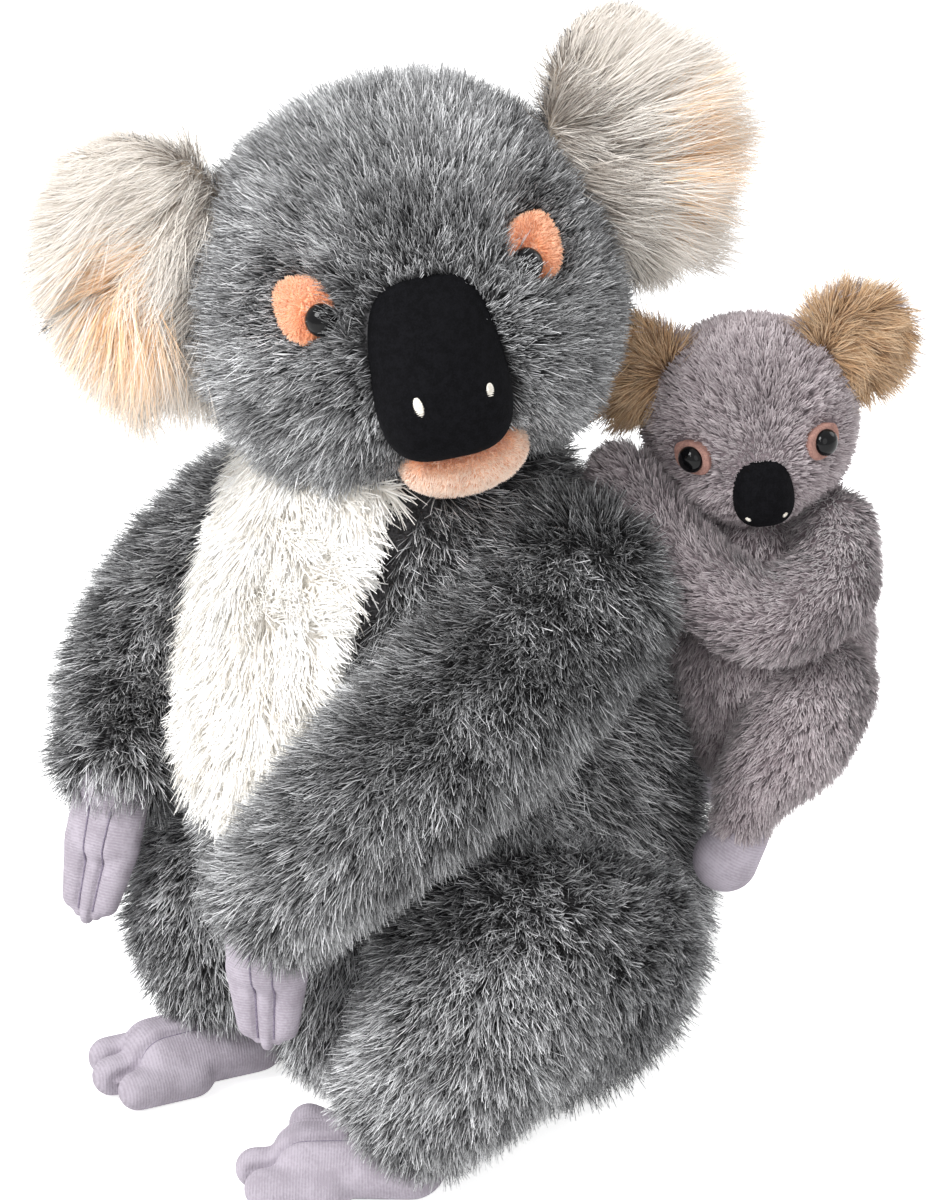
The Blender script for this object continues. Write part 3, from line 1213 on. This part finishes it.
def outsideTorso(points, margin):
    # True for places that lie outside the torso's surface by a margin
    halfWidth, halfDepth, middle = torsoAt(points[:, 2])
    share = np.hypot(points[:, 0] / (halfWidth + margin), (points[:, 1] - middle) / (halfDepth + margin))
    return (share > 1) | (points[:, 2] > torso["height"] + margin)


def makeLimbs():
    for k, (hand, side) in enumerate(hands):
        spine = arms[hand]["spine"]
        arm = sleeveSurface(spine, armRadii, cuff["armShare"])
        newSkin(f"{hand}_arm_backing", arm, greyBacking, f"{hand}_arm",
                nodes=[f"{hand}_arm"])
        pile = armPile if hand == "left" else dict(armPile, strands=62000)
        growPile(f"{hand}_arm_plush", arm, pile, f"{hand}_arm", greyPile, 71 + k, flow=alongLimb,
                 keep=lambda points: outsideTorso(points, -7),
                 lighter=lambda points, top=spine[0][2]: -armDarker * smoothStep(
                     points[:, 2], top - 50, top + 10))
    for k, (hand, side) in enumerate(hands):
        spine = legs[hand]["spine"]
        leg = sleeveSurface(spine, legRadii, cuff["legShare"])
        leg["points"][:, 2] = np.maximum(leg["points"][:, 2], torso["ground"])
        newSkin(f"{hand}_leg_backing", withNormals(leg), greyBacking, f"{hand}_leg",
                nodes=[f"{hand}_leg"])
        pile = legPile if hand == "left" else dict(legPile, strands=66000)
        armSpine = arms[hand]["spine"]
        growPile(f"{hand}_leg_plush", leg, pile, f"{hand}_leg", greyPile, 73 + k, flow=alongLimb,
                 length=lambda points: 0.88 - 0.35 * smoothStep(points[:, 1], -30, 15),
                 keep=lambda points, a=armSpine: outsideTorso(points, -7) & (points[:, 2] > 1)
                 & (limbDepth(points, a, armRadii) < 5),
                 lighter=lambda points: np.full(len(points), legLighter))


# Hands and feet: round parts fused, then grooved along their seams

palm = {
    "wrist": 13, "radius": 13.5, "length": 22, "flatShare": 0.6, "finger": 5.8, "fingerLength": 26, "spread": 8,
    "tipSpread": 5.2,
}
foot = {
    "ankle": 14, "halfWidth": 16, "length": 34, "halfThickness": 12, "heelBack": 3, "toe": 8, "toeLength": 17,
    "spread": 11, "ground": 0.5,
}


def fused(name, parts, voxel, material, body, matrix, nodes, seams):
    # The parts' union as one skin of small squares, smoothed, and drawn in along each seam
    points, faces, offset = [], [], 0
    for part in parts:
        points.append(part["points"])
        faces += [face + offset for face in part["faces"]]
        offset += len(part["points"])
    piece = newPiece(name, np.vstack(points), faces, [material], body)
    remesh = piece.modifiers.new("one skin", "REMESH")
    remesh.mode = "VOXEL"
    remesh.voxel_size = voxel * mm
    remesh.use_smooth_shade = True
    smooth = piece.modifiers.new("soft edges", "SMOOTH")
    smooth.factor, smooth.iterations = 0.6, 8
    applyModifiers(piece)
    mesh = piece.data
    place = np.empty(len(mesh.vertices) * 3, np.float32)
    mesh.vertices.foreach_get("co", place)
    normal = np.empty(len(mesh.vertices) * 3, np.float32)
    mesh.vertices.foreach_get("normal", normal)
    place, normal = place.reshape(-1, 3).astype(float) / mm, normal.reshape(-1, 3)
    for start, end, depth, width in seams:
        start, end = np.array(start, float), np.array(end, float)
        share = np.clip((place - start) @ (end - start) / ((end - start) @ (end - start)), 0, 1)
        away = (place - start) - share[:, None] * (end - start)
        gap = np.hypot(away[:, 0], 0.15 * away[:, 1])
        place = place - normal * (depth * np.exp(-((gap / width) ** 2)))[:, None]
    place = moved(place, matrix)
    place[:, 2] = np.maximum(place[:, 2], foot["ground"])
    mesh.vertices.foreach_set("co", (place * mm).astype(np.float32).ravel())
    mesh.update()
    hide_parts(*nodes)
    return piece


def velourAlong(name, axis):
    # Velour whose ribs run across an axis of the world
    return clothMaterial(name, dict(ribbedVelour, ribAxis=unit(np.asarray(axis, float))))


stitch = {"pitch": 2.4, "share": 0.78, "radius": 0.34, "lift": 0.12}


def sewAlong(name, piece, lines, body):
    # Stitches laid on a piece along lines: each spot is where a ray against the line's side meets the piece
    mesh = piece.data
    corners = [tuple(vertex.co / mm) for vertex in mesh.vertices]
    tree = BVHTree.FromPolygons(corners, [tuple(face.vertices) for face in mesh.polygons])
    points, faces, offset = [], [], 0
    for start, end, toward in lines:
        count = int(np.linalg.norm(end - start) / stitch["pitch"])
        hits = [tree.ray_cast(Vector(start + (end - start) * k / count + 40 * toward), Vector(-toward))[0]
                for k in range(count + 1)]
        for first, second in zip(hits, hits[1:]):
            if first is None or second is None or (first - second).length > 2 * stitch["pitch"]:
                continue
            a, b = np.array(first) + stitch["lift"] * toward, np.array(second) + stitch["lift"] * toward
            b = a + (b - a) * stitch["share"]
            part = limbSurface([a, b], [stitch["radius"]] * 2, steps=4, sides=10, wide=np.array([0.3, 0.5, 0.81]))
            points.append(part["points"])
            faces += [face + offset for face in part["faces"]]
            offset += len(part["points"])
    seam = newPiece(name, np.vstack(points), faces, [velourThread], body)


def makeHands():
    for hand, side in hands:
        arm = arms[hand]
        matrix = placed(arm["spine"][-1], arm["turn"], -arm["lean"], arm["splay"])
        parts = [
            limbSurface([(0, 0, 2), (0, 0, -2)], [palm["wrist"]] * 2, 0, 0.9, steps=8, sides=40),
            limbSurface([(0, 0, -palm["radius"] * palm["flatShare"]), (0, 0, -palm["length"])],
                        [palm["radius"]] * 2, 0, palm["flatShare"], steps=10, sides=40),
        ]
        seams = []
        for place in (-1, 0, 1):
            start = (place * palm["spread"], 0, -palm["length"])
            reach = palm["fingerLength"] - 1.5 - abs(place) * palm["finger"] * 0.7
            end = (place * palm["tipSpread"], 0, -palm["length"] - reach)
            parts.append(limbSurface(
                [start, end], [palm["finger"], palm["finger"] * 0.86], 0, 0.9, steps=12, sides=32))
            if place:
                top, tip = place * palm["spread"] / 2, place * palm["tipSpread"] / 2
                seams.append(((top, 0, -palm["length"] + 12), (tip, 0, -palm["length"] - 24), 1.8, 1.0))
        velour = velourAlong(f"ribbed velour of the {hand} hand", matrix[:3, 2])
        piece = fused(f"{hand}_velour_hand", parts, 0.85, velour, f"{hand}_hand", matrix,
                      [f"{hand}_hand"], seams)
        lines = [(moved(np.array(start, float), matrix), moved(np.array(end, float), matrix),
                  face * matrix[:3, 1])
                 for start, end, _, _ in seams for face in (-1, 1)]
        sewAlong(f"{hand}_hand_stitches", piece, lines, f"{hand}_hand")


def makeFeet():
    for hand, side in hands:
        leg = legs[hand]
        ankle = leg["spine"][-1]
        matrix = placed(ankle, leg["turn"])
        sole = ankle[2] - foot["halfThickness"] + foot["ground"]
        back = np.array([0, foot["heelBack"], -sole])
        ball = np.array([0, foot["heelBack"] - foot["length"], -sole])
        parts = [
            limbSurface([(0, 0, 2), (0, 0, -2)], [foot["ankle"]] * 2, 0, steps=8, sides=40),
            limbSurface([back, ball], [foot["halfWidth"]] * 2, 0, foot["halfThickness"] / foot["halfWidth"],
                        steps=12, sides=48),
        ]
        toeDrop = ankle[2] - foot["toe"] + foot["ground"]
        seams = []
        for place in (-1, 0, 1):
            away, out = leg["bigToe"] if place == -side else (0, 0)
            lift = 0.4 * away
            start = (place * foot["spread"], ball[1] + foot["toe"] + away, -toeDrop)
            reach = foot["toeLength"] - abs(place) * foot["toe"] / 2 - away
            end = (place * (foot["spread"] + foot["toe"] / 3 + out), ball[1] - reach, -toeDrop + lift)
            parts.append(limbSurface([start, end], [foot["toe"], foot["toe"] * 0.85], 0, steps=12, sides=36))
            if place:
                x = place * foot["spread"] / 2
                seams.append(((x, ball[1] + 14, -toeDrop), (x * 1.2, ball[1] - 16, -toeDrop), 2.4, 1.3))
        velour = velourAlong(f"ribbed velour of the {hand} foot", matrix[:3, 1])
        piece = fused(f"{hand}_velour_foot", parts, 1.0, velour, f"{hand}_foot", matrix,
                      [f"{hand}_foot"], seams)
        lines = [(moved(np.array(start, float), matrix), moved(np.array(end, float), matrix), upAxis)
                 for start, end, _, _ in seams]
        sewAlong(f"{hand}_foot_stitches", piece, lines, f"{hand}_foot")


# The joey, in its own frame: its face toward the mother's back and its own left toward +x

joey = {
    "turn": -40, "press": 1, "torsoRadius": 37, "spine": [(0, 1, -29), (0, 0, 0), (0, -3.5, 29)],
    "radii": [29, 37, 25], "headUp": 75, "headForward": 7, "backing": -2.5,
}
joeyHead = {
    "halfWidth": 35, "halfDepth": 33, "halfHeight": 35, "turn": 93, "nod": 8, "roll": 7,
    "swellings": [((0, -1, -0.36), 6, 32)],
}
joeyLimbs = {
    "left": {
        "arm": {"out": [15, 30, 36, 27, 19], "back": [20, 17, -6, -32, -49], "up": [42, 28, 21, 40, 62],
                "radii": [15, 17, 17, 14, 12]},
        "leg": {"out": [22, 34, 37, 38], "back": [14, 7, -4, -9], "up": [-10, -23, -38, -50],
                "radii": [22, 20, 15, 11]},
    },
    "right": {
        "arm": {"out": [18, 30, 28], "back": [8, -10, -38], "up": [34, 30, 34], "radii": [14, 15, 12]},
        "leg": {"out": [20, 30, 33, 32], "back": [12, 4, -8, -14], "up": [-10, -23, -38, -50],
                "radii": [22, 20, 15, 11]},
    },
}
joeyFoot = {"radius": 11, "length": 15, "forward": 5, "sink": 6}
joeyNose = {
    "halfWidth": 10.5, "halfHeight": 12, "front": 9, "back": 3, "sink": 5.5, "drop": 9, "tilt": 8,
    "narrowTop": 0.13, "squareness": 2.6, "nostrilSpacing": 11.5, "nostrilDrop": 7, "nostrilHalf": (1.2, 1.2),
    "nostrilRise": 0.6,
}
joeyEyes = {"spacing": 42, "raise": 3, "radius": 4.4, "bulge": 3.2, "patchOut": 0, "patchUp": 0,
            "patchHalf": (5.1, 5.1), "patchRise": 1.0}
joeyEar = {
    "out": 36, "behind": 2, "up": 22, "toeIn": 12, "halfWidth": 16, "halfHeight": 16, "front": 5, "back": 3,
    "gap": 0.3, "hub": (11, -2),
}
joeyNoseMiddle = np.array([0, -36, -10])
joeyTurn = turnAbout(upAxis, joey["turn"])
joeyCentre = jointPlace["joey_sway"] + turned(np.array([0, joey["torsoRadius"] - joey["press"], 0]), joeyTurn)
joeyMatrix = placed(joeyCentre, joey["turn"])
joeyHeadMatrix = joeyMatrix @ placed((0, -joey["headForward"], joey["headUp"]), joeyHead["turn"], joeyHead["nod"],
                                     -joeyHead["roll"])
joeyPile = {
    "strands": 38000, "length": 3.9, "lengthSpread": 0.25, "lean": 52, "leanSpread": 14, "width": 0.44,
    "tipWidth": 0.4, "segments": 1, "tuft": 2.4, "tuftLength": 0.08, "pull": 0.3, "tuftSwing": 26,
    "stray": 12, "roll": 30,
    "wave": 26, "waveSize": 18, "tuftTone": 0.35, "strandTone": 0.55, "patchTone": 0.4,
}
joeyHeadPile = dict(joeyPile, strands=46000, lean=44, tuft=2.2, patchTone=0.2)
joeyEarPile = dict(earPile, strands=10000, length=9, tuft=4, tuftLength=0.2)


def limbSteps(limb, side):
    steps = zip(limb["out"], limb["back"], limb["up"])
    return np.array([(side * out, back, up) for out, back, up in steps], float)


def joeyTrim(points):
    share = np.ones(len(points))
    front = smoothStep(-points[:, 1], 0, 10)
    for centre, half in facePieces(joeyEyes):
        share = np.minimum(share, 0.35 + 0.65 * smoothStep(frontGap(points, centre, half), 1, 2.2))
    share = np.minimum(share, 0.4 + 0.6 * smoothStep(noseGap(points, joeyNose), 0.9, 2.0))
    return 1 + front * (share - 1)


def joeyHeadShows(points):
    kept = np.ones(len(points), bool)
    front = points[:, 1] < 0
    for centre, half in facePieces(joeyEyes):
        kept &= ~front | (frontGap(points, centre, half) > 0.95)
    kept &= ~front | (noseGap(points, joeyNose) > 0.9)
    return kept


def joeyLay(points, normals, carried):
    # Away from the middle of its nose, and a little down
    away = unit(points - joeyNoseMiddle)
    return away + 0.35 * into(down, joeyHeadMatrix)


def makeJoey():
    torsoSpine = np.array(joey["spine"], float)
    spines = {(hand, part): limbSteps(joeyLimbs[hand][part], side)
              for hand, side in hands for part in ("arm", "leg")}
    radii = {key: joeyLimbs[key[0]][key[1]]["radii"] for key in spines}
    body = limbSurface(torsoSpine, joey["radii"], joey["backing"], steps=48, sides=64)
    newSkin("joey_torso_backing", body, minkyBacking, "joey", joeyMatrix,
            nodes=["joey_torso"])

    def bare(points):
        kept = np.ones(len(points), bool)
        for key, spine in spines.items():
            kept &= limbDepth(points, spine, radii[key]) < 3.5
        return kept & outsideTorso(moved(points, joeyMatrix), -4)

    growPile("joey_torso_minky", body, joeyPile, "joey", minkyPile, 81, joeyMatrix,
             flow=lambda points, normals, carried: into(down, joeyMatrix) + 0 * points, keep=bare)
    for k, ((hand, part), spine) in enumerate(spines.items()):
        limb = limbSurface(spine, radii[hand, part], joey["backing"], wide=upAxis if part == "arm" else sideAxis,
                           steps=56, sides=48)
        newSkin(f"joey_{hand}_{part}_backing", limb, minkyBacking, "joey", joeyMatrix,
                nodes=[f"joey_{hand}_{part}"])
        strands = {"arm": 28000, "leg": 25000}[part] if hand == "left" else 11000
        growPile(f"joey_{hand}_{part}_minky", limb, dict(joeyPile, strands=strands), "joey",
                 minkyPile, 82 + k, joeyMatrix,
                 flow=lambda points, normals, carried: carried + 0.3 * into(down, joeyMatrix),
                 keep=lambda points: outsideTorso(moved(points, joeyMatrix), -3)
                 & (limbDepth(points, torsoSpine, joey["radii"]) < 4))
    for hand, side in hands:
        ankle = spines[hand, "leg"][-1]
        toe = ankle + np.array([0, -joeyFoot["forward"], -joeyFoot["length"]])
        heel = ankle + np.array([0, 0, -joeyFoot["sink"]])
        parts = [limbSurface([heel, toe], [joeyFoot["radius"] * 0.85, joeyFoot["radius"]], 0, steps=16, sides=40)]
        velour = velourAlong(f"ribbed velour of the joey's {hand} foot", turned(toe - heel, joeyMatrix))
        fused(f"joey_{hand}_velour_foot", parts, 1.1, velour, "joey", joeyMatrix,
              [f"joey_{hand}_foot"], [])


def makeJoeyHead():
    skin = headSurface(joeyHead, joey["backing"], 60, 80)
    newSkin("joey_head_backing", skin, minkyBacking, "joey_head", joeyHeadMatrix,
            nodes=["joey_head_skin"])
    growPile("joey_head_minky", skin, joeyHeadPile, "joey_head", minkyPile, 91, joeyHeadMatrix,
             flow=joeyLay, keep=joeyHeadShows, length=joeyTrim)
    wad = headSurface(joeyHead, -6, 24, 36)
    wad["points"] = wad["points"] * (1 + 0.015 * ripple(wad["points"], 8, 4)[:, None])
    newSkin("joey_head_wad", wad, fibreWad, "joey_head", joeyHeadMatrix,
            nodes=["joey_head_stuffing"])
    makeEyes("joey_", "joey_head", joeyHead, joeyEyes, joeyHeadMatrix, pinkFelt)
    makeNose("joey_", "joey_head", joeyHead, joeyNose, joeyHeadMatrix)
    for k, (hand, side) in enumerate(hands):
        matrix = joeyHeadMatrix @ placed((side * joeyEar["out"], joeyEar["behind"], joeyEar["up"]),
                                         side * joeyEar["toeIn"])
        hub = np.array([-side * joeyEar["hub"][0], 0, joeyEar["hub"][1]])

        def outward(points, normals, carried, hub=hub, matrix=matrix):
            return unit(points - hub) + 0.55 * into(down, matrix)

        front = earShape(joeyEar, joeyEar["front"] - 1, 0.4)
        newSkin(f"joey_{hand}_ear_tan_backing", front, tanBacking, f"joey_{hand}_ear", matrix,
                nodes=[f"joey_{hand}_ear_front"])
        growPile(f"joey_{hand}_ear_tan_plush", front, joeyEarPile, f"joey_{hand}_ear", tanPile,
                 95 + k, matrix, flow=outward, keep=lambda points: points[:, 1] < 0.3)
        back = earShape(joeyEar, 0.4, joeyEar["back"] - 1, joeyEar["gap"])
        newSkin(f"joey_{hand}_ear_minky_backing", back, minkyBacking, f"joey_{hand}_ear", matrix,
                nodes=[f"joey_{hand}_ear_back"])
        growPile(f"joey_{hand}_ear_minky", back, dict(joeyPile, strands=4000, length=8), f"joey_{hand}_ear",
                 minkyPile, 97 + k, matrix, flow=outward, keep=lambda points: points[:, 1] > 0.2)


makeEars()
print("ears made")
makeLimbs()
print("arms and legs made")
makeHands()
makeFeet()
print("hands and feet made")
makeJoey()
makeJoeyHead()
print("joey made")
